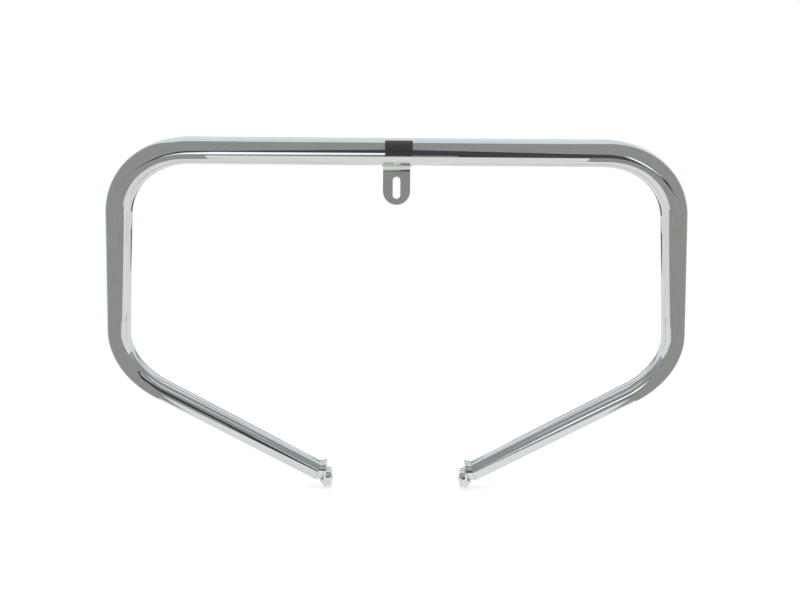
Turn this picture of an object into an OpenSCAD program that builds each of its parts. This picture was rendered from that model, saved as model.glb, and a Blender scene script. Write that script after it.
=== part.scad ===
// Engine crash bar for a motorcycle: one bent steel tube, hung from a slotted tab
// at the top and bolted to the frame through two lugs at the ends of its legs.
// +X is the rider's side-to-side direction, +Y runs back towards the engine, +Z is up.
// The origin is the centre of the tab's slot, on the tab's back face.

/* [Guard tube] */
// Outer diameter of the guard tube
tube_d = 31.75; // [25:0.25:38]
// Wall thickness of the guard tube
tube_wall = 3; // [1.5:0.1:4.5]
// Radius of every bend, at the tube's centreline
bend_r = 108; // [75:1:130]
// Length of the straight run along the top
top_run = 495; // [380:5:620]
// Angle turned by each upper bend
upper_angle = 76.5; // [65:0.5:85]
// Length of the straight run down each side
side_run = 189; // [120:1:260]
// Angle turned by each lower bend
lower_angle = 65.5; // [55:0.5:75]
// Lean of the guard's plane, feet towards the engine
rake_angle = 33; // [15:1:45]

/* [Top tab] */
// Width of the tab across the guard
tab_w = 33; // [24:0.5:45]
// Thickness of the tab's flat bar
tab_t = 5; // [3:0.5:8]
// Length of the leaning root between the tube and the tab's bend
tab_root = 5; // [3:0.5:12]
// Inside radius of the tab's bend
tab_bend_r = 5; // [2:0.5:10]
// Drop from the tube's centre to the slot's centre
slot_drop = 41; // [37:0.5:60]
// Width of the slot
slot_w = 9.2; // [6.5:0.1:12]
// Length of the slot from end to end
slot_l = 26.8; // [14:0.2:32]
// Metal left below the slot
slot_margin = 7.2; // [5:0.2:14]

/* [End lugs] */
// Gap between the faces of the two bosses
foot_gap = 214; // [160:2:260]
// Length of each boss beyond its plate
boss_len = 8.5; // [4:0.5:16]
// Outer diameter of each boss
boss_d = 32; // [26:0.5:38]
// Chamfer round the face of each boss
boss_chamfer = 3; // [0.5:0.5:4]
// Drop from the collar's centre to the boss's centre
boss_drop = 11.5; // [6:0.5:20]
// Thickness of each lug plate
plate_t = 4.5; // [3:0.5:8]
// Rim of the plate outside the collar and the boss
plate_rim = 1.5; // [1.2:0.1:5]
// Chamfer round the edges of each plate
plate_chamfer = 0.8; // [0.3:0.1:1.1]
// Length of each collar from the plate to the mitre, at its centre
collar_len = 12; // [9:0.5:30]
// Length of the cone behind each plate
cone_len = 7; // [4:0.5:8.5]
// Diameter of the cone's small end
cone_tip_d = 17; // [15:0.5:22]
// Diameter of the tapped hole's wall
tap_d = 10.2; // [6.8:0.1:12]
// Metal left behind the tapped hole's drill point
tap_floor = 1; // [0.5:0.1:3]
// Diameter of the countersink at the hole's mouth
sink_d = 13; // [12.2:0.2:16]

/* [Hidden] */
$fn = 96;

tube_r = tube_d / 2;
bore_r = tube_r - tube_wall;
steel = "lightgray";
lug_steel = "silver";
drill_angle = 118;
past = 1;

// The angle near the one asked for, at most a twentieth of a degree away, whose cosine and
// sine stay on the unit circle at six digits. Lengths turned by it keep their true length,
// so each stretch of tube starts exactly where the one before it ends.
function six_digits(x) = let (unit = pow(10, floor(log(abs(x))) - 5)) round(x / unit) * unit;
function off_circle(angle) = abs(norm([six_digits(cos(angle)), six_digits(sin(angle))]) - 1);
function settled(angle) =
    let (near = [for (step = [-1000:1000]) angle + step / 20000])
    let (misses = [for (a = near) off_circle(a)])
    near[search(min(misses), misses)[0]];

lean = settled(rake_angle);
upper_turn = settled(upper_angle);
lower_turn = settled(lower_angle);

// Centreline of the right half in the guard's own plane, from the top's middle:
// x to the right, y up the plane. A heading is the angle below the x axis.
function along(heading) = [cos(heading), -sin(heading)];
function outward(heading) = [sin(heading), cos(heading)];

corner_c = [top_run / 2, -bend_r];
side_top = corner_c + bend_r * outward(upper_turn);
side_foot = side_top + side_run * along(upper_turn);
knee_c = side_foot - bend_r * outward(upper_turn);
leg_heading = upper_turn + lower_turn;
leg_top = knee_c + bend_r * outward(leg_heading);
collar_x = foot_gap / 2 + boss_len + plate_t;
joint_x = collar_x + collar_len;
leg_run = (joint_x - leg_top[0]) / along(leg_heading)[0];
joint = leg_top + leg_run * along(leg_heading);

// The mitre plane halves the corner between the leg and the collar
mitre_angle = (180 - leg_heading) / 2;
mitre_reach = tube_r * tan(mitre_angle) + past;
block = 2 * (bend_r + tube_d);

// Side view of the tab: the bend's centre and the tube's centre, as [y, z]
tab_mid_r = tab_bend_r + tab_t / 2;
tab_reach = tube_r + tab_root;
bend_c = [-tab_bend_r - tab_t, slot_drop - tab_mid_r * sin(lean) - tab_reach * cos(lean)];
top_c = [bend_c[0] + tab_mid_r * cos(lean) - tab_reach * sin(lean), slot_drop];
tab_foot = -slot_l / 2 - slot_margin;

// The collar's centre at the plate, as [y, z]
collar_c = top_c + joint[1] * [-sin(lean), cos(lean)];
plate_r = max(tube_d, boss_d) / 2 + plate_rim;
lug_depth = boss_len + plate_t + cone_len;
point_len = tap_d / 2 / tan(drill_angle / 2);
tap_depth = lug_depth - tap_floor - point_len;
function reverse(list) = [for (i = [len(list) - 1:-1:0]) list[i]];

module guard_plane() {
    translate([0, top_c[0], top_c[1]])
        rotate([90 + lean, 0, 0])
            children();
}

// Section of a tube, or of a solid rod where the bore is 0
module section(bore_r) {
    difference() {
        circle(r = tube_r);
        if (bore_r > 0)
            circle(r = bore_r);
    }
}

module straight(length, bore_r) {
    rotate([0, 90, 0])
        linear_extrude(length)
            section(bore_r);
}

// All that lies past a plane through the origin, turned down by the given angle
module past_plane(angle) {
    rotate([0, 0, -angle])
        translate([0, -block / 2, -block / 2])
            cube(block);
}

// A bend that turns down the plane, with what follows placed at its end
module bend(turn, bore_r) {
    translate([0, -bend_r, 0]) {
        difference() {
            rotate_extrude(angle = 90)
                translate([bend_r, 0])
                    section(bore_r);
            past_plane(turn);
        }
        rotate([0, 0, -turn])
            translate([0, bend_r, 0])
                children();
    }
}

// The leg runs from the lower bend to the mitre
module leg() {
    difference() {
        straight(leg_run + mitre_reach, bore_r);
        translate([leg_run, 0, 0])
            past_plane(mitre_angle);
    }
}

module half_tube() {
    straight(top_run / 2, bore_r);
    translate([top_run / 2, 0, 0])
        bend(upper_turn, bore_r) {
            straight(side_run, bore_r);
            translate([side_run, 0, 0])
                bend(lower_turn, bore_r)
                    leg();
        }
}

module guard_tube() {
    color(steel)
        guard_plane() {
            half_tube();
            mirror([1, 0, 0])
                half_tube();
        }
}

// All that lies left of a path that comes up at x = r, turns by the lean round the origin
// and goes on straight, as far left, down and up as given
module left_of_bend(r, left, down, up) {
    circle(r = r);
    translate([-left, -down])
        square([left + r, down]);
    rotate(lean)
        translate([-left, 0])
            square([left + r, up]);
}

// Side view of the tab round its bend's centre: an upright end, a bend and a leaning root
module tab_profile() {
    upright = bend_c[1] - tab_foot - tab_w / 2;
    difference() {
        left_of_bend(tab_bend_r + tab_t, 0, upright, tab_reach);
        left_of_bend(tab_bend_r, block, upright + past, tab_reach + past);
    }
}

// The tab's flat bar, with a round foot, before it is slotted and coped to the tube
module tab_bar() {
    rotate([90, 0, 90])
        translate([bend_c[0], bend_c[1], -tab_w / 2])
            linear_extrude(tab_w)
                tab_profile();
    translate([0, 0, tab_foot + tab_w / 2])
        rotate([90, 0, 0])
            cylinder(h = tab_t, d = tab_w);
}

module slot() {
    round_c = (slot_l - slot_w) / 2;
    for (z = [-round_c, round_c])
        translate([0, past, z])
            rotate([90, 0, 0])
                cylinder(h = tab_t + 2 * past, d = slot_w);
    translate([-slot_w / 2, -tab_t - past, -round_c])
        cube([slot_w, tab_t + 2 * past, 2 * round_c]);
}

module top_tab() {
    color(lug_steel)
        difference() {
            tab_bar();
            slot();
            guard_plane()
                translate([-tab_w, 0, 0])
                    straight(2 * tab_w, 0);
        }
}

// Outline of the plate's edge, out to radius r on the side given
function plate_edge(r, side) = [
    [side * (r - plate_chamfer), 0],
    [side * r, plate_chamfer],
    [side * r, plate_t - plate_chamfer],
    [side * (r - plate_chamfer), plate_t]
];

// Oblong plate with chamfered edges, round the centres of the collar and the boss
module lug_plate() {
    for (drop = [0, boss_drop])
        translate([0, 0, -drop])
            rotate([0, 90, 0])
                rotate_extrude()
                    polygon(concat([[0, 0]], plate_edge(plate_r, 1), [[0, plate_t]]));
    rotate([180, 0, 90])
        linear_extrude(boss_drop)
            polygon(concat(plate_edge(plate_r, 1), reverse(plate_edge(plate_r, -1))));
}

// The boss and the cone behind the plate, turned about one axis
module boss() {
    boss_r = boss_d / 2;
    rotate([0, 90, 0])
        rotate_extrude()
            polygon([
                [0, 0],
                [boss_r - boss_chamfer, 0],
                [boss_r, boss_chamfer],
                [boss_r, boss_len + plate_t],
                [cone_tip_d / 2, lug_depth],
                [0, lug_depth]
            ]);
}

module tapped_hole() {
    sink = (sink_d - tap_d) / 2;
    rotate([0, 90, 0]) {
        translate([0, 0, -past]) {
            cylinder(h = past + tap_depth, d = tap_d);
            cylinder(h = past + sink, d1 = sink_d + 2 * past, d2 = tap_d);
        }
        translate([0, 0, tap_depth])
            cylinder(h = point_len, d1 = tap_d, d2 = 0);
    }
}

// The collar runs level from inside the plate and meets the leg at the mitre
module collar() {
    root = plate_t / 2;
    guard_plane()
        translate([collar_x, joint[1], 0])
            difference() {
                translate([-root, 0, 0])
                    straight(root + collar_len + mitre_reach, 0);
                translate([collar_len, 0, 0])
                    past_plane(-mitre_angle);
            }
}

module end_lug() {
    color(lug_steel)
        difference() {
            union() {
                collar();
                translate([foot_gap / 2 + boss_len, collar_c[0], collar_c[1]])
                    lug_plate();
                translate([foot_gap / 2, collar_c[0], collar_c[1] - boss_drop])
                    boss();
            }
            translate([foot_gap / 2, collar_c[0], collar_c[1] - boss_drop])
                tapped_hole();
        }
}

module right_end_lug() {
    end_lug();
}

module left_end_lug() {
    mirror([1, 0, 0])
        end_lug();
}

guard_tube();
top_tab();
left_end_lug();
right_end_lug();
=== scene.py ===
import bpy
from math import cos, pi, radians, sin, sqrt, tan
from mathutils import Matrix, Vector


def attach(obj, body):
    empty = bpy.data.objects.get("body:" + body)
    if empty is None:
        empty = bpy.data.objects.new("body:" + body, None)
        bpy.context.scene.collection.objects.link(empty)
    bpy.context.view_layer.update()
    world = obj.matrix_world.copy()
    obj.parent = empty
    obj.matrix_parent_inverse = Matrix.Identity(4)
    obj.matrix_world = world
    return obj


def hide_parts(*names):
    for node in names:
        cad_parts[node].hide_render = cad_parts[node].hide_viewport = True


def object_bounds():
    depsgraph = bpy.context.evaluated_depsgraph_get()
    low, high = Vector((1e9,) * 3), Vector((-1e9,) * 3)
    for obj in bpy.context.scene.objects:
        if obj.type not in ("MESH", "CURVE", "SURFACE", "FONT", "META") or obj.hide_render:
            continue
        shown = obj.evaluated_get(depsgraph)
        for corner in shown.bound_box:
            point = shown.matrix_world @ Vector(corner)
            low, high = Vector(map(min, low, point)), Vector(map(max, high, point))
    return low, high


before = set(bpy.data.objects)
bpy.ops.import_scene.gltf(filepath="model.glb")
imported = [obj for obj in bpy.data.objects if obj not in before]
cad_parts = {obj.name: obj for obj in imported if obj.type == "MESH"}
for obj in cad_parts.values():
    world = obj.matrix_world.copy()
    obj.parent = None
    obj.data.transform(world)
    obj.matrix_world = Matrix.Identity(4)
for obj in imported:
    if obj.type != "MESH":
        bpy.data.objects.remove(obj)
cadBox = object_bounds()
mm = 0.001
near = 0.01 * mm                 # how close counts as the same place

# Engine crash bar for a motorcycle. The chromed pieces are drawn in the guard's own plane:
# x to the right, y up the plane and z square to it, with the top run's middle at 0, 0, 0.
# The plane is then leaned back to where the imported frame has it.

guard = {
    "diameter": 31.75 * mm,
    "wall": 3 * mm,
    "bendRadius": 108 * mm,      # at the tube's centreline
    "topRun": 495 * mm,
    "sideRun": 189 * mm,
    "upperTurn": 76.5443,        # degrees
    "lowerTurn": 65.533,
    "lean": 33.0082,
    "topCentre": (0, -15.0824 * mm, 41 * mm),    # middle of the top run's centreline
    "sides": 96,                 # facets round the tube
    "bendStep": 1.5,             # degrees between the rings of a bend
}
tubeRadius = guard["diameter"] / 2
planeTilt = radians(90 + guard["lean"])


# Edit mode helpers

def deselectAll():
    if bpy.context.mode != "OBJECT":
        bpy.ops.object.mode_set(mode="OBJECT")
    bpy.ops.object.select_all(action="DESELECT")


def only(piece):
    deselectAll()
    piece.select_set(True)
    bpy.context.view_layer.objects.active = piece


def named(name):
    piece = bpy.context.object
    piece.name = name
    piece.data.name = name
    return piece


def settle(piece):
    # bakes the object's place, turn and size into its mesh
    only(piece)
    bpy.ops.object.transform_apply(location=True, rotation=True, scale=True)


def pick(piece, kind, test):
    # goes to edit mode with just the vertices, edges or faces that pass the test
    only(piece)
    bpy.ops.object.mode_set(mode="EDIT")
    bpy.ops.mesh.select_mode(type=kind)
    bpy.ops.mesh.select_all(action="DESELECT")
    bpy.ops.object.mode_set(mode="OBJECT")
    parts = {"VERT": piece.data.vertices, "EDGE": piece.data.edges, "FACE": piece.data.polygons}[kind]
    for part in parts:
        part.select = test(part)
    bpy.ops.object.mode_set(mode="EDIT")


def addModifier(piece, kind, **settings):
    only(piece)
    modifier = piece.modifiers.new(kind.title(), kind)
    for key, value in settings.items():
        setattr(modifier, key, value)
    bpy.ops.object.modifier_apply(modifier=modifier.name)


def cut(piece, tool, operation="DIFFERENCE"):
    addModifier(piece, "BOOLEAN", operation=operation, object=tool, solver="EXACT")
    bpy.data.objects.remove(tool)


def closeUp(piece, gap=0.002 * mm):
    # merges doubles and turns every face outwards
    only(piece)
    bpy.ops.object.mode_set(mode="EDIT")
    bpy.ops.mesh.select_all(action="SELECT")
    bpy.ops.mesh.remove_doubles(threshold=gap)
    bpy.ops.mesh.normals_make_consistent(inside=False)
    bpy.ops.object.mode_set(mode="OBJECT")


def smooth(piece, angle=32):
    only(piece)
    bpy.ops.object.shade_smooth_by_angle(angle=radians(angle))


def flatFaces(piece):
    # keeps the wide faces flat in the light and lets the narrow roundings take up the turn
    addModifier(piece, "WEIGHTED_NORMAL", weight=100, keep_sharp=True)


def leanBack(piece):
    # from the guard's own plane to its place in the frame
    piece.rotation_euler = (planeTilt, 0, 0)
    piece.location = guard["topCentre"]
    settle(piece)


def inFrame(point):
    turn = Matrix.Rotation(planeTilt, 4, "X")
    return turn @ Vector(point) + Vector(guard["topCentre"])


# Materials

def colour(code):
    # sRGB hex to linear
    parts = [int(code[i:i + 2], 16) / 255 for i in (1, 3, 5)]
    return [p / 12.92 if p <= 0.04045 else ((p + 0.055) / 1.055) ** 2.4 for p in parts] + [1]


def newMaterial(name):
    material = bpy.data.materials.new(name)
    material.use_nodes = True
    material.node_tree.nodes.clear()
    return material


def addNode(material, kind, links=None, **settings):
    # one node with its settings; links gives each input a socket or a value
    tree = material.node_tree
    node = tree.nodes.new(kind)
    for key, value in settings.items():
        setattr(node, key, value)
    for key, value in (links or {}).items():
        if isinstance(value, bpy.types.NodeSocket):
            tree.links.new(value, node.inputs[key])
        else:
            node.inputs[key].default_value = value
    return node


def plated(name, dark, bright, haze, hazeSize, wave, waveDepth):
    # bright nickel-chrome plate: haze is its least and greatest roughness, and sizes are in mm
    material = newMaterial(name)
    place = addNode(material, "ShaderNodeTexCoord").outputs["Object"]
    cloud = addNode(material, "ShaderNodeTexNoise",
                    {"Vector": place, "Scale": 1 / (hazeSize * mm), "Detail": 4, "Roughness": 0.6})
    tint = addNode(material, "ShaderNodeMix",
                   {"Factor": cloud.outputs["Fac"], "A": colour(dark), "B": colour(bright)},
                   data_type="RGBA")
    gloss = addNode(material, "ShaderNodeMapRange",
                    {"Value": cloud.outputs["Fac"], "From Min": 0.3, "From Max": 0.7,
                     "To Min": haze[0], "To Max": haze[1]})
    skin = addNode(material, "ShaderNodeTexNoise",
                   {"Vector": place, "Scale": 1 / (wave * mm), "Detail": 2, "Roughness": 0.5})
    relief = addNode(material, "ShaderNodeBump",
                     {"Height": skin.outputs["Fac"], "Distance": waveDepth * mm, "Strength": 1})
    shader = addNode(material, "ShaderNodeBsdfPrincipled",
                     {"Base Color": tint.outputs["Result"], "Metallic": 1,
                      "Roughness": gloss.outputs["Result"], "Normal": relief.outputs["Normal"]})
    addNode(material, "ShaderNodeOutputMaterial", {"Surface": shader.outputs["BSDF"]})
    return material


def finish(piece, material):
    piece.data.materials.clear()
    piece.data.materials.append(material)
    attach(piece, "root")


# drawn steel tube, buffed before plating: a cool, nearly perfect mirror with long shallow waves
chromedTube = plated("nickelChromeOnBuffedTube", "#C9CDCF", "#D3D6D8", haze=(0.02, 0.05),
                     hazeSize=14, wave=30, waveDepth=0.004)

# flat bar, ground and plated: a little greyer, with a soft haze and shorter waves
chromedBar = plated("nickelChromeOnFlatBar", "#C4C6C6", "#D0D1D1", haze=(0.05, 0.11),
                    hazeSize=14, wave=9, waveDepth=0.01)

# forging, turned and plated: as cool as the tube, with a close fine ripple
chromedForging = plated("nickelChromeOnForging", "#C9CDCF", "#D3D6D8", haze=(0.04, 0.09),
                        hazeSize=14, wave=4, waveDepth=0.006)

# weld bead under the plate: duller and warmer than the tube, with a fine grain
chromedWeld = plated("nickelChromeOnWeld", "#B9B8B2", "#CFCFCB", haze=(0.08, 0.2),
                     hazeSize=14, wave=1.2, waveDepth=0.02)


# Guard tube

def heading(angle):
    return Vector((cos(radians(angle)), -sin(radians(angle)), 0))


def outward(angle):
    return Vector((sin(radians(angle)), cos(radians(angle)), 0))


legHeading = guard["upperTurn"] + guard["lowerTurn"]
upperCentre = Vector((guard["topRun"] / 2, -guard["bendRadius"], 0))
sideTop = upperCentre + guard["bendRadius"] * outward(guard["upperTurn"])
sideFoot = sideTop + guard["sideRun"] * heading(guard["upperTurn"])
lowerCentre = sideFoot - guard["bendRadius"] * outward(guard["upperTurn"])
legTop = lowerCentre + guard["bendRadius"] * outward(legHeading)

lug = {
    "gap": 214 * mm,             # between the two boss faces
    "bossLength": 8.5 * mm,
    "bossDiameter": 32 * mm,
    "bossChamfer": 3 * mm,
    "bossDrop": 11.5 * mm,       # from the collar's middle down to the boss's
    "plate": 4.5 * mm,
    "plateRim": 1.5 * mm,        # how far the plate stands out past the boss
    "plateChamfer": 0.8 * mm,
    "collar": 12 * mm,           # length at its centreline
    "coneLength": 7 * mm,
    "coneTip": 17 * mm,          # width of the cone's small end
    "threadMajor": 12 * mm,
    "threadMinor": 10.2 * mm,
    "threadPitch": 1.75 * mm,
    "sink": 13 * mm,             # width of the countersink at the mouth
    "floor": 1 * mm,             # metal left under the blind hole
    "drillAngle": 118,           # degrees at the drill's point
    "threadStart": 1.4 * mm,     # below the mouth
    "threadStop": 3.4 * mm,      # above the hole's end
    "threadSunk": 0.05 * mm,     # into the hole's wall
    "threadSteps": 36,           # in one turn
    "edge": 0.35 * mm,           # rounding that polishing leaves on every edge
    "overlap": 0.01 * mm,        # of parts that are joined or cut
    "past": 1 * mm,              # how far the drill starts outside the boss
}
plateFront = lug["gap"] / 2 + lug["bossLength"]
collarStart = plateFront + lug["plate"]
jointX = collarStart + lug["collar"]
legRun = (jointX - legTop.x) / heading(legHeading).x
joint = legTop + legRun * heading(legHeading)
mitreNormal = heading((legHeading + 180) / 2)
holeDepth = lug["bossLength"] + lug["plate"] + lug["coneLength"] - lug["floor"]


def bend(turn, centre):
    # spin turns clockwise about its axis
    steps = round(turn / guard["bendStep"])
    bpy.ops.mesh.spin(steps=steps, angle=radians(turn), center=centre, axis=(0, 0, 1))


def run(shift):
    bpy.ops.mesh.extrude_edges_move(TRANSFORM_OT_translate={"value": shift})


def makeGuardTube():
    # a ring drawn along the right half, cut on the mitre, mirrored and given its wall
    deselectAll()
    bpy.ops.mesh.primitive_circle_add(vertices=guard["sides"], radius=tubeRadius,
                                      rotation=(0, pi / 2, 0))
    piece = named("chromedGuardTube")
    settle(piece)
    bpy.ops.object.mode_set(mode="EDIT")
    bpy.ops.mesh.select_all(action="SELECT")
    run((guard["topRun"] / 2, 0, 0))
    bend(guard["upperTurn"], upperCentre)
    run(guard["sideRun"] * heading(guard["upperTurn"]))
    bend(guard["lowerTurn"], lowerCentre)
    run((legRun + tubeRadius) * heading(legHeading))
    bpy.ops.mesh.select_all(action="SELECT")
    bpy.ops.mesh.bisect(plane_co=joint, plane_no=mitreNormal, clear_outer=True)
    bpy.ops.object.mode_set(mode="OBJECT")
    addModifier(piece, "MIRROR", use_axis=(True, False, False), merge_threshold=near)
    closeUp(piece)
    addModifier(piece, "SOLIDIFY", thickness=guard["wall"], offset=-1, use_even_offset=True)
    leanBack(piece)
    smooth(piece)
    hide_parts("guard_tube")
    finish(piece, chromedTube)
    return piece


guardTube = makeGuardTube()
print("guard tube:", len(guardTube.data.polygons), "faces")


# Top tab

tab = {
    "width": 33 * mm,
    "thickness": 5 * mm,
    "bendInside": 5 * mm,
    "root": 5 * mm,              # straight stretch between the tube and the bend
    "slotWidth": 9.2 * mm,
    "slotLength": 26.8 * mm,
    "slotMargin": 7.2 * mm,      # metal below the slot
    "bendSteps": 16,
    "edge": 0.5 * mm,            # rounding along its edges
}
tabFoot = -tab["slotLength"] / 2 - tab["slotMargin"]
tabMidBend = tab["bendInside"] + tab["thickness"] / 2
tabReach = tubeRadius + tab["root"]
lean = radians(guard["lean"])
tabBendY = -tab["bendInside"] - tab["thickness"]
tabBendZ = guard["topCentre"][2] - tabMidBend * sin(lean) - tabReach * cos(lean)


def roundedSlot(name, width, length, depth, y):
    # a round bar along y, pulled out along z into a slot with round ends
    deselectAll()
    bpy.ops.mesh.primitive_cylinder_add(vertices=64, radius=width / 2, depth=depth,
                                        location=(0, y, 0), rotation=(pi / 2, 0, 0))
    piece = named(name)
    settle(piece)
    for side in (-1, 1):
        pick(piece, "VERT", lambda v: v.co.z * side > near)
        bpy.ops.transform.translate(value=(0, 0, side * (length - width) / 2))
    bpy.ops.object.mode_set(mode="OBJECT")
    return piece


def makeTopTab():
    # half a round foot, drawn up to the bend, bent and drawn on into the tube
    footCentre = tabFoot + tab["width"] / 2
    deselectAll()
    bpy.ops.mesh.primitive_cylinder_add(vertices=128, radius=tab["width"] / 2,
                                        depth=tab["thickness"],
                                        location=(0, -tab["thickness"] / 2, footCentre),
                                        rotation=(pi / 2, 0, 0))
    piece = named("chromedTopTab")
    settle(piece)
    bpy.ops.object.mode_set(mode="EDIT")
    bpy.ops.mesh.select_all(action="SELECT")
    bpy.ops.mesh.bisect(plane_co=(0, 0, footCentre), plane_no=(0, 0, 1), clear_outer=True)
    bpy.ops.mesh.extrude_edges_move(
        TRANSFORM_OT_translate={"value": (0, 0, tabBendZ - footCentre)})
    pivot = (0, tabBendY, tabBendZ)
    bpy.ops.mesh.spin(steps=tab["bendSteps"], angle=lean, center=pivot, axis=(-1, 0, 0))
    up = Vector((0, -sin(lean), cos(lean)))
    bpy.ops.mesh.extrude_edges_move(TRANSFORM_OT_translate={"value": tabReach * up})
    bpy.ops.mesh.edge_face_add()
    bpy.ops.object.mode_set(mode="OBJECT")
    closeUp(piece)

    # the slot, and the hollow that seats on the tube
    cut(piece, roundedSlot("slotCutter", tab["slotWidth"], tab["slotLength"],
                           4 * tab["thickness"], -tab["thickness"] / 2))
    bpy.ops.mesh.primitive_cylinder_add(vertices=guard["sides"] * 2, radius=tubeRadius,
                                        depth=3 * tab["width"], location=guard["topCentre"],
                                        rotation=(0, pi / 2, 0))
    cut(piece, named("copeCutter"))
    closeUp(piece)
    addModifier(piece, "BEVEL", width=tab["edge"], segments=3, limit_method="ANGLE",
                angle_limit=radians(40), use_clamp_overlap=True)
    smooth(piece, 40)
    flatFaces(piece)
    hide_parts("top_tab")
    finish(piece, chromedBar)
    return piece


topTab = makeTopTab()
print("top tab:", len(topTab.data.polygons), "faces")


# End lugs

bossCentre = inFrame((0, joint.y, 0)) - Vector((0, 0, lug["bossDrop"]))
collarCentre = inFrame((0, joint.y, 0))


def disc(name, diameter, start, length, centre, tip=None, sides=128):
    # a round bar along x from start, or a cone where a tip diameter is given
    deselectAll()
    tip = diameter if tip is None else tip
    bpy.ops.mesh.primitive_cone_add(vertices=sides, radius1=diameter / 2, radius2=tip / 2,
                                    depth=length, location=(start + length / 2, centre.y, centre.z),
                                    rotation=(0, pi / 2, 0))
    piece = named(name)
    settle(piece)
    return piece


def rimEdges(piece, x):
    # the edges that lie flat at the given x
    def test(edge):
        return all(abs(piece.data.vertices[i].co.x - x) < near for i in edge.vertices)
    return test


def makeLug():
    # oblong plate
    plate = disc("lugPlate", 2 * (max(guard["diameter"], lug["bossDiameter"]) / 2 + lug["plateRim"]),
                 plateFront, lug["plate"], collarCentre)
    pick(plate, "VERT", lambda v: v.co.z < collarCentre.z - near)
    bpy.ops.transform.translate(value=(0, 0, -lug["bossDrop"]))
    for x in (plateFront, collarStart):
        pick(plate, "EDGE", rimEdges(plate, x))
        bpy.ops.mesh.bevel(offset=lug["plateChamfer"], segments=1, affect="EDGES")
    bpy.ops.object.mode_set(mode="OBJECT")

    # boss, and the cone behind it
    boss = disc("lugBoss", lug["bossDiameter"], lug["gap"] / 2,
                lug["bossLength"] + lug["plate"], bossCentre)
    pick(boss, "EDGE", rimEdges(boss, lug["gap"] / 2))
    bpy.ops.mesh.bevel(offset=lug["bossChamfer"], segments=1, affect="EDGES")
    bpy.ops.object.mode_set(mode="OBJECT")
    cone = disc("lugCone", lug["bossDiameter"], collarStart - lug["overlap"], lug["coneLength"],
                bossCentre, tip=lug["coneTip"])

    # collar, cut on the mitre
    collar = disc("lugCollar", guard["diameter"], plateFront + lug["plate"] / 2,
                  lug["plate"] / 2 + lug["collar"] + tubeRadius, collarCentre, sides=guard["sides"])
    only(collar)
    bpy.ops.object.mode_set(mode="EDIT")
    bpy.ops.mesh.select_all(action="SELECT")
    turned = Matrix.Rotation(planeTilt, 3, "X") @ mitreNormal
    bpy.ops.mesh.bisect(plane_co=inFrame(joint), plane_no=-turned, clear_outer=True, use_fill=True)
    bpy.ops.object.mode_set(mode="OBJECT")

    for part in (boss, cone, collar):
        cut(plate, part, "UNION")

    # blind hole, its countersink and the drill's point
    point = lug["threadMinor"] / 2 / tan(radians(lug["drillAngle"] / 2))
    cut(plate, disc("tapDrill", lug["threadMajor"], lug["gap"] / 2 - lug["past"],
                    holeDepth - point + lug["past"], bossCentre))
    sinkDepth = (lug["sink"] - lug["threadMinor"]) / 2
    cut(plate, disc("sinkCutter", lug["sink"] + 2 * sinkDepth, lug["gap"] / 2 - sinkDepth,
                    2 * sinkDepth, bossCentre, tip=lug["threadMinor"]))
    cut(plate, disc("drillPoint", lug["threadMinor"],
                    lug["gap"] / 2 + holeDepth - point - lug["overlap"], point, bossCentre, tip=0))
    closeUp(plate)
    addModifier(plate, "BEVEL", width=lug["edge"], segments=2, limit_method="ANGLE",
                angle_limit=radians(25), use_clamp_overlap=True)
    return plate


rightLug = makeLug()
rightLug.name = "chromedRightLug"
only(rightLug)
bpy.ops.object.duplicate()
leftLug = bpy.context.object
leftLug.name = "chromedLeftLug"
leftLug.scale = (-1, 1, 1)
settle(leftLug)
closeUp(leftLug, 0)
for piece, node in ((rightLug, "right_end_lug"), (leftLug, "left_end_lug")):
    smooth(piece, 28)
    flatFaces(piece)
    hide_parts(node)
    finish(piece, chromedForging)
print("end lugs:", len(rightLug.data.polygons), "faces each")


# Blank label, a film of dark satin vinyl round the front of the top run

label = {
    "width": 32.6 * mm,
    "offset": 2.6 * mm,          # to the right of the middle
    "lowEdge": 1.5,              # degrees round the tube, from square to the plane towards its top
    "highEdge": 74,
    "film": 0.15 * mm,
    "standOff": 0.01 * mm,       # from the tube's skin
    "steps": 24,
}


def satinVinyl():
    # cast vinyl film: dark, with a soft sheen and a fine orange-peel skin
    material = newMaterial("satinVinylFilm")
    place = addNode(material, "ShaderNodeTexCoord").outputs["Object"]
    cloud = addNode(material, "ShaderNodeTexNoise",
                    {"Vector": place, "Scale": 1 / (6 * mm), "Detail": 3})
    tint = addNode(material, "ShaderNodeMix",
                   {"Factor": cloud.outputs["Fac"], "A": colour("#2D2E31"), "B": colour("#37383B")},
                   data_type="RGBA")
    peel = addNode(material, "ShaderNodeTexNoise",
                   {"Vector": place, "Scale": 1 / (0.5 * mm), "Detail": 2})
    relief = addNode(material, "ShaderNodeBump",
                     {"Height": peel.outputs["Fac"], "Distance": 0.01 * mm, "Strength": 1})
    shader = addNode(material, "ShaderNodeBsdfPrincipled",
                     {"Base Color": tint.outputs["Result"], "Roughness": 0.34, "IOR": 1.48,
                      "Normal": relief.outputs["Normal"]})
    addNode(material, "ShaderNodeOutputMaterial", {"Surface": shader.outputs["BSDF"]})
    return material


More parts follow.
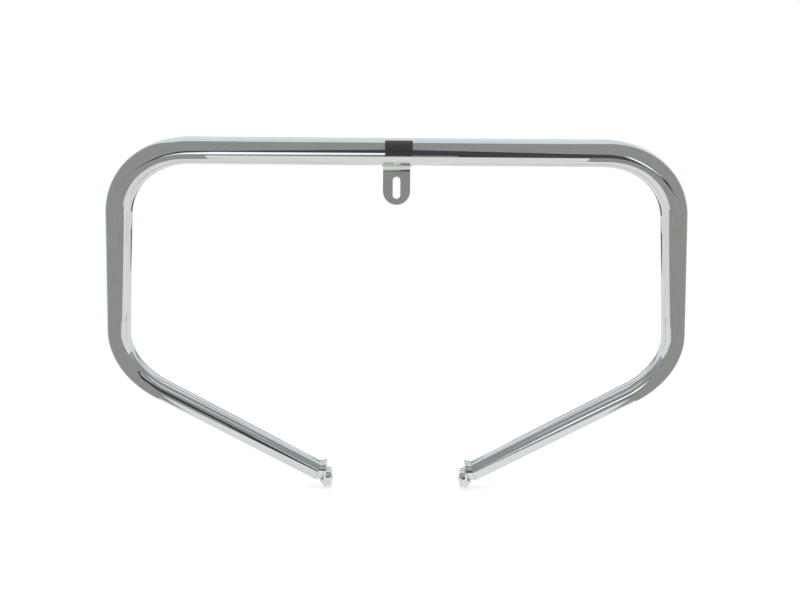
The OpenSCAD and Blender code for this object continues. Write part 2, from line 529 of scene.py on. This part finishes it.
def makeLabel():
    # one straight edge, spun round the tube's skin and given the film's thickness
    low = radians(label["lowEdge"])
    radius = tubeRadius + label["standOff"]
    deselectAll()
    bpy.ops.mesh.primitive_plane_add(size=label["width"], location=(label["offset"], 0, 0))
    piece = named("blankLabel")
    settle(piece)
    pick(piece, "VERT", lambda v: v.co.y > 0)
    bpy.ops.mesh.delete(type="VERT")
    bpy.ops.object.mode_set(mode="OBJECT")
    for vertex in piece.data.vertices:
        vertex.co = (vertex.co.x, radius * sin(low), radius * cos(low))
    bpy.ops.object.mode_set(mode="EDIT")
    bpy.ops.mesh.select_all(action="SELECT")
    bpy.ops.mesh.spin(steps=label["steps"], angle=radians(label["highEdge"] - label["lowEdge"]),
                      center=(0, 0, 0), axis=(1, 0, 0))
    bpy.ops.mesh.select_all(action="SELECT")
    bpy.ops.mesh.normals_make_consistent(inside=False)
    bpy.ops.object.mode_set(mode="OBJECT")
    if piece.data.polygons[0].normal.z < 0:
        piece.data.flip_normals()
    addModifier(piece, "SOLIDIFY", thickness=label["film"], offset=1)
    leanBack(piece)
    smooth(piece)
    finish(piece, satinVinyl())


makeLabel()


# Weld beads and threads, swept along a path

def sweep(name, points, size, closed, sides, ripple=0):
    # a bar along the points; ripple swells it every fourth point, as a weld's steps do
    curve = bpy.data.curves.new(name, "CURVE")
    curve.dimensions = "3D"
    curve.bevel_depth = size
    curve.bevel_resolution = sides
    curve.use_fill_caps = not closed
    spline = curve.splines.new("POLY")
    spline.points.add(len(points) - 1)
    for i, (knot, point) in enumerate(zip(spline.points, points)):
        knot.co = (*point, 1)
        knot.radius = 1 + ripple * cos(pi * i / 2)
    spline.use_cyclic_u = closed
    piece = bpy.data.objects.new(name, curve)
    bpy.context.scene.collection.objects.link(piece)
    only(piece)
    bpy.ops.object.convert(target="MESH")
    return bpy.context.object


weld = {
    "mitreBead": 0.8 * mm,       # radius
    "mitreSunk": 0.35 * mm,      # ground down nearly flush before plating
    "rootBead": 1.3 * mm,        # radius
    "rootSpread": 0.3,           # how far it stands off the tab's faces, in bead radii
    "rootEnd": 0.35,             # how far it bulges past the tab's sides, in half depths
    "rootLift": 0.15 * mm,       # off the tube's skin
    "step": 0.6 * mm,            # between the bead's points
    "ripple": 0.05,              # swell, as a share of the radius
}


def makeMitreWeld(name, side):
    # an ellipse round the mitre; side is 1 for the right leg and -1 for the left
    along = Vector((-mitreNormal.y, mitreNormal.x, 0))
    radius = tubeRadius - weld["mitreSunk"]
    stretch = 1 / cos(radians((180 - legHeading) / 2))
    count = 4 * round(2 * pi * radius / weld["step"] / 4)
    points = []
    for i in range(count):
        turn = 2 * pi * i / count
        point = joint + along * radius * stretch * cos(turn) + Vector((0, 0, radius * sin(turn)))
        points.append((side * point.x, point.y, point.z))
    piece = sweep(name, points, weld["mitreBead"], closed=True, sides=3, ripple=weld["ripple"])
    leanBack(piece)
    closeUp(piece, 0)
    smooth(piece, 60)
    finish(piece, chromedWeld)


def makeTabWeld():
    # round the tab's root, in the corner between its faces and the tube
    halfWidth = tab["width"] / 2
    halfDepth = tab["thickness"] / 2 + weld["rootBead"] * weld["rootSpread"]
    straight = 2 * halfWidth
    ringRadius = tubeRadius + weld["rootLift"]
    loop = 2 * straight + 2 * pi * halfDepth
    count = 4 * round(loop / weld["step"] / 4)
    points = []
    for i in range(count):
        s = loop * i / count
        if s < straight:
            x, z = -halfWidth + s, halfDepth
        elif s < straight + pi * halfDepth:
            turn = (s - straight) / halfDepth
            x, z = halfWidth + halfDepth * weld["rootEnd"] * sin(turn), halfDepth * cos(turn)
        elif s < 2 * straight + pi * halfDepth:
            x, z = halfWidth - (s - straight - pi * halfDepth), -halfDepth
        else:
            turn = (s - 2 * straight - pi * halfDepth) / halfDepth
            x, z = -halfWidth - halfDepth * weld["rootEnd"] * sin(turn), -halfDepth * cos(turn)
        points.append((x, -sqrt(ringRadius ** 2 - z ** 2), z))
    piece = sweep("tabRootWeld", points, weld["rootBead"], closed=True, sides=3,
                  ripple=weld["ripple"])
    leanBack(piece)
    closeUp(piece, 0)
    smooth(piece, 60)
    finish(piece, chromedWeld)


def makeThread(name, side):
    # a ridge on a helix down the wall of the tapped hole
    radius = lug["threadMajor"] / 2 + lug["threadSunk"]
    start = lug["gap"] / 2 + lug["threadStart"]
    turns = (holeDepth - lug["threadStop"] - lug["threadStart"]) / lug["threadPitch"]
    points = []
    for i in range(round(turns * lug["threadSteps"])):
        turn = 2 * pi * i / lug["threadSteps"]
        points.append((side * (start + lug["threadPitch"] * i / lug["threadSteps"]),
                       bossCentre.y + radius * cos(turn), bossCentre.z + radius * sin(turn)))
    piece = sweep(name, points, (lug["threadMajor"] - lug["threadMinor"]) / 2, closed=False, sides=0)
    closeUp(piece, 0)
    finish(piece, chromedForging)


for side, word in ((1, "Right"), (-1, "Left")):
    makeMitreWeld("mitreWeld" + word, side)
    makeThread("bossThread" + word, side)
makeTabWeld()
print("label, welds and threads made")


# Camera, at the photograph's viewing angle

photoView = {
    "sensor": 36,                # mm
    "lens": 27.69,               # mm
    "place": (0.0053, -0.7513, -0.1362),
    "roll": -0.0078,             # radians
}

cameraData = bpy.data.cameras.new("photoCamera")
cameraData.sensor_width = photoView["sensor"]
cameraData.lens = photoView["lens"]
camera = bpy.data.objects.new("photoCamera", cameraData)
bpy.context.scene.collection.objects.link(camera)
camera.location = photoView["place"]
camera.rotation_euler = (pi / 2, photoView["roll"], 0)
bpy.context.scene.camera = camera


# Floor, world and lamp

studio = {
    "floorDrop": 2 * mm,         # under the lowest lug
    "floorSize": 30,
    "floorPaint": ("#F2F2F2", "#F5F5F5"),
    "floorClouds": 6,            # in a metre
    "floorLift": 0.36,           # takes the lit floor up to the white of the world
    "worldFill": 0.75,           # world strength for diffuse light
    "keyPower": 14,
    "keySize": 1.6,
    "keyPlace": (-0.4, -0.9, 1.6),
    "keyTarget": (0, 0.1, -0.4),
    "cardClouds": 1.3,           # in a metre
    "cardVary": 0.06,            # share by which a card's glow wanders
}


def rayKinds(material, names):
    # 1 on the named kinds of ray and 0 on the others
    path = addNode(material, "ShaderNodeLightPath")
    total = path.outputs[names[0]]
    for name in names[1:]:
        total = addNode(material, "ShaderNodeMath", {0: total, 1: path.outputs[name]},
                        operation="MAXIMUM").outputs[0]
    return total


def makeWorld():
    # white to the camera; in reflections the room shell below stands in front of it
    world = bpy.data.worlds.new("whiteStudio")
    world.use_nodes = True
    world.node_tree.nodes.clear()
    seen = rayKinds(world, ("Is Camera Ray", "Is Glossy Ray", "Is Transmission Ray"))
    strength = addNode(world, "ShaderNodeMapRange",
                       {"Value": seen, "To Min": studio["worldFill"], "To Max": 1})
    backdrop = addNode(world, "ShaderNodeBackground",
                       {"Color": (1, 1, 1, 1), "Strength": strength.outputs["Result"]})
    addNode(world, "ShaderNodeOutputWorld", {"Surface": backdrop.outputs["Background"]})
    bpy.context.scene.world = world


def makeFloor():
    # painted white board, lifted to white where the camera sees it in full light
    material = newMaterial("paintedFloor")
    place = addNode(material, "ShaderNodeTexCoord").outputs["Object"]
    grain = addNode(material, "ShaderNodeTexNoise",
                    {"Vector": place, "Scale": studio["floorClouds"], "Detail": 3})
    dark, pale = studio["floorPaint"]
    tint = addNode(material, "ShaderNodeMix",
                   {"Factor": grain.outputs["Fac"], "A": colour(dark), "B": colour(pale)},
                   data_type="RGBA")
    paint = addNode(material, "ShaderNodeBsdfDiffuse", {"Color": tint.outputs["Result"]})
    seen = rayKinds(material, ("Is Camera Ray", "Is Glossy Ray", "Is Transmission Ray"))
    lift = addNode(material, "ShaderNodeMapRange",
                   {"Value": seen, "To Min": 0, "To Max": studio["floorLift"]})
    glow = addNode(material, "ShaderNodeEmission",
                   {"Color": (1, 1, 1, 1), "Strength": lift.outputs["Result"]})
    both = addNode(material, "ShaderNodeAddShader",
                   {0: paint.outputs["BSDF"], 1: glow.outputs["Emission"]})
    addNode(material, "ShaderNodeOutputMaterial", {"Surface": both.outputs["Shader"]})
    deselectAll()
    bpy.ops.mesh.primitive_plane_add(size=studio["floorSize"],
                                     location=(0, 0, cadBox[0].z - studio["floorDrop"]))
    floor = named("floor")
    floor.data.materials.append(material)
    floor.visible_glossy = False


def makeKeyLamp():
    lamp = bpy.data.lights.new("softKey", "AREA")
    lamp.energy = studio["keyPower"]
    lamp.size = studio["keySize"]
    holder = bpy.data.objects.new("softKey", lamp)
    bpy.context.scene.collection.objects.link(holder)
    holder.location = studio["keyPlace"]
    aim = Vector(studio["keyTarget"]) - Vector(studio["keyPlace"])
    holder.rotation_euler = aim.to_track_quat("-Z", "Y").to_euler()
    holder.visible_glossy = False


makeWorld()
makeFloor()
makeKeyLamp()
print("camera, world, floor and lamp set")


# Reflection cards and the grey room round them, laid out in the guard's own plane and seen by
# the chrome alone. A card stands at one z, with an outline in x and y, or at one y, with an
# outline in x and z: x to the right, y up the plane and z towards the camera's side, in metres.

cards = {
    "table": {                   # cool white, behind the guard
        "z": -0.55, "glow": 1.08, "tint": "#F3FBFF",
        "outline": [(-3.5, -2.5), (-0.8, 0.3), (-1.8, 2.6), (0.8, 2.6), (1.2, 0.3), (1.5, -2.5)]},
    "backdrop": {                # far below the legs
        "y": -3, "glow": 1.04, "tint": "#FFFEF5",
        "outline": [(-2, -1.5), (-2, 1), (-1, 2.4), (1, 2.4), (2, 1), (2, -1.5)]},
    "frontPanel": {              # close below the legs
        "y": -0.75, "glow": 1.05, "tint": "#FFFEF5",
        "outline": [(-0.5, -0.3), (-0.5, 0.4), (0.5, 0.4), (0.5, -0.3)]},
    "topStrip": {                # gives the top run its pale lower side
        "z": 0.15, "glow": 1.06, "tint": "#FFFEF5",
        "outline": [(-0.27, -0.06), (-0.29, -0.19), (0.29, -0.19), (0.27, -0.06)]},
    "apron": {                   # gives the legs theirs
        "z": 0.1, "glow": 1.06, "tint": "#FDFFFC",
        "outline": [(-0.36, -0.4), (-0.08, -0.54), (0.08, -0.54), (0.36, -0.4), (0.45, -0.8),
                    (-0.45, -0.8)]},
    "leftLamp": {                # large and soft
        "z": 1.3, "glow": 1.6, "tint": "#F4FBFF",
        "outline": [(-0.85, -0.33), (0, -0.15), (0, 0.2), (-0.6, 0.15)]},
    "rightLamp": {               # tall and narrow
        "z": 1.3, "glow": 1.6, "tint": "#F4FBFF",
        "outline": [(0.9, -0.35), (1.1, -0.35), (0.95, 0.2), (0.85, 0.2)]},
    "shade": {                   # dark round the lamps
        "z": 1.4, "glow": 0.09, "tint": "#F2F4FF",
        "outline": [(-1.1, -0.4), (0, -0.3), (1.3, -0.25), (0.6, 0.3), (0, 1.1), (-0.8, 0.25)]},
    "deepShade": {               # the left leg's near-black streak
        "z": 1.38, "glow": 0.02, "tint": "#F2F4FF",
        "outline": [(0.2, -0.3), (0.2, -0.5), (1.3, -0.5), (1.3, -0.3)]},
    "rightShadow": {             # the guard's own shadow on the table, seen in its back
        "z": -0.5, "glow": 0.2, "tint": "#F2F4FF",
        "outline": [(0, 0.05), (0.42, 0.05), (0.55, -0.3), (0.1, -0.65), (0.05, -0.55), (0.47, -0.28),
                    (0.37, -0.06), (0, -0.06)]},
}
cards["leftShadow"] = dict(cards["rightShadow"],
                           outline=[(-x, y) for x, y in cards["rightShadow"]["outline"]])
room = {"size": (14, 12, 10), "middle": (0, 0, 2), "glow": 0.42, "tint": "#FCFDF5"}


def cardMaterial(name, glow, tint):
    # plain glow with a faint cloud, so that no reflection is dead flat
    material = newMaterial(name)
    place = addNode(material, "ShaderNodeTexCoord").outputs["Object"]
    cloud = addNode(material, "ShaderNodeTexNoise",
                    {"Vector": place, "Scale": studio["cardClouds"], "Detail": 1})
    level = addNode(material, "ShaderNodeMapRange",
                    {"Value": cloud.outputs["Fac"], "From Min": 0.3, "From Max": 0.7,
                     "To Min": glow * (1 - studio["cardVary"]),
                     "To Max": glow * (1 + studio["cardVary"])})
    shine = addNode(material, "ShaderNodeEmission",
                    {"Color": colour(tint), "Strength": level.outputs["Result"]})
    addNode(material, "ShaderNodeOutputMaterial", {"Surface": shine.outputs["Emission"]})
    return material


def hang(card, material):
    # leans the card back with the guard and hides it from everything but reflections
    card.rotation_euler = (planeTilt, 0, 0)
    card.location = guard["topCentre"]
    card.data.materials.append(material)
    for flag in ("visible_camera", "visible_diffuse", "visible_shadow", "visible_transmission",
                 "visible_volume_scatter"):
        setattr(card, flag, False)


def addCard(name, card):
    deselectAll()
    bpy.ops.mesh.primitive_circle_add(vertices=len(card["outline"]), radius=1, fill_type="NGON")
    piece = named(name + "Card")
    for vertex, (x, other) in zip(piece.data.vertices, card["outline"]):
        vertex.co = (x, other, card["z"]) if "z" in card else (x, card["y"], other)
    hang(piece, cardMaterial(name + "Glow", card["glow"], card["tint"]))


def addRoom():
    deselectAll()
    bpy.ops.mesh.primitive_cube_add(size=1)
    shell = named("roomShell")
    for vertex in shell.data.vertices:
        vertex.co = [c * s + m for c, s, m in zip(vertex.co, room["size"], room["middle"])]
    hang(shell, cardMaterial("roomGlow", room["glow"], room["tint"]))


for name, card in cards.items():
    addCard(name, card)
addRoom()
print("studio:", len(cards), "cards and the room")

bpy.context.scene.view_settings.view_transform = "Standard"
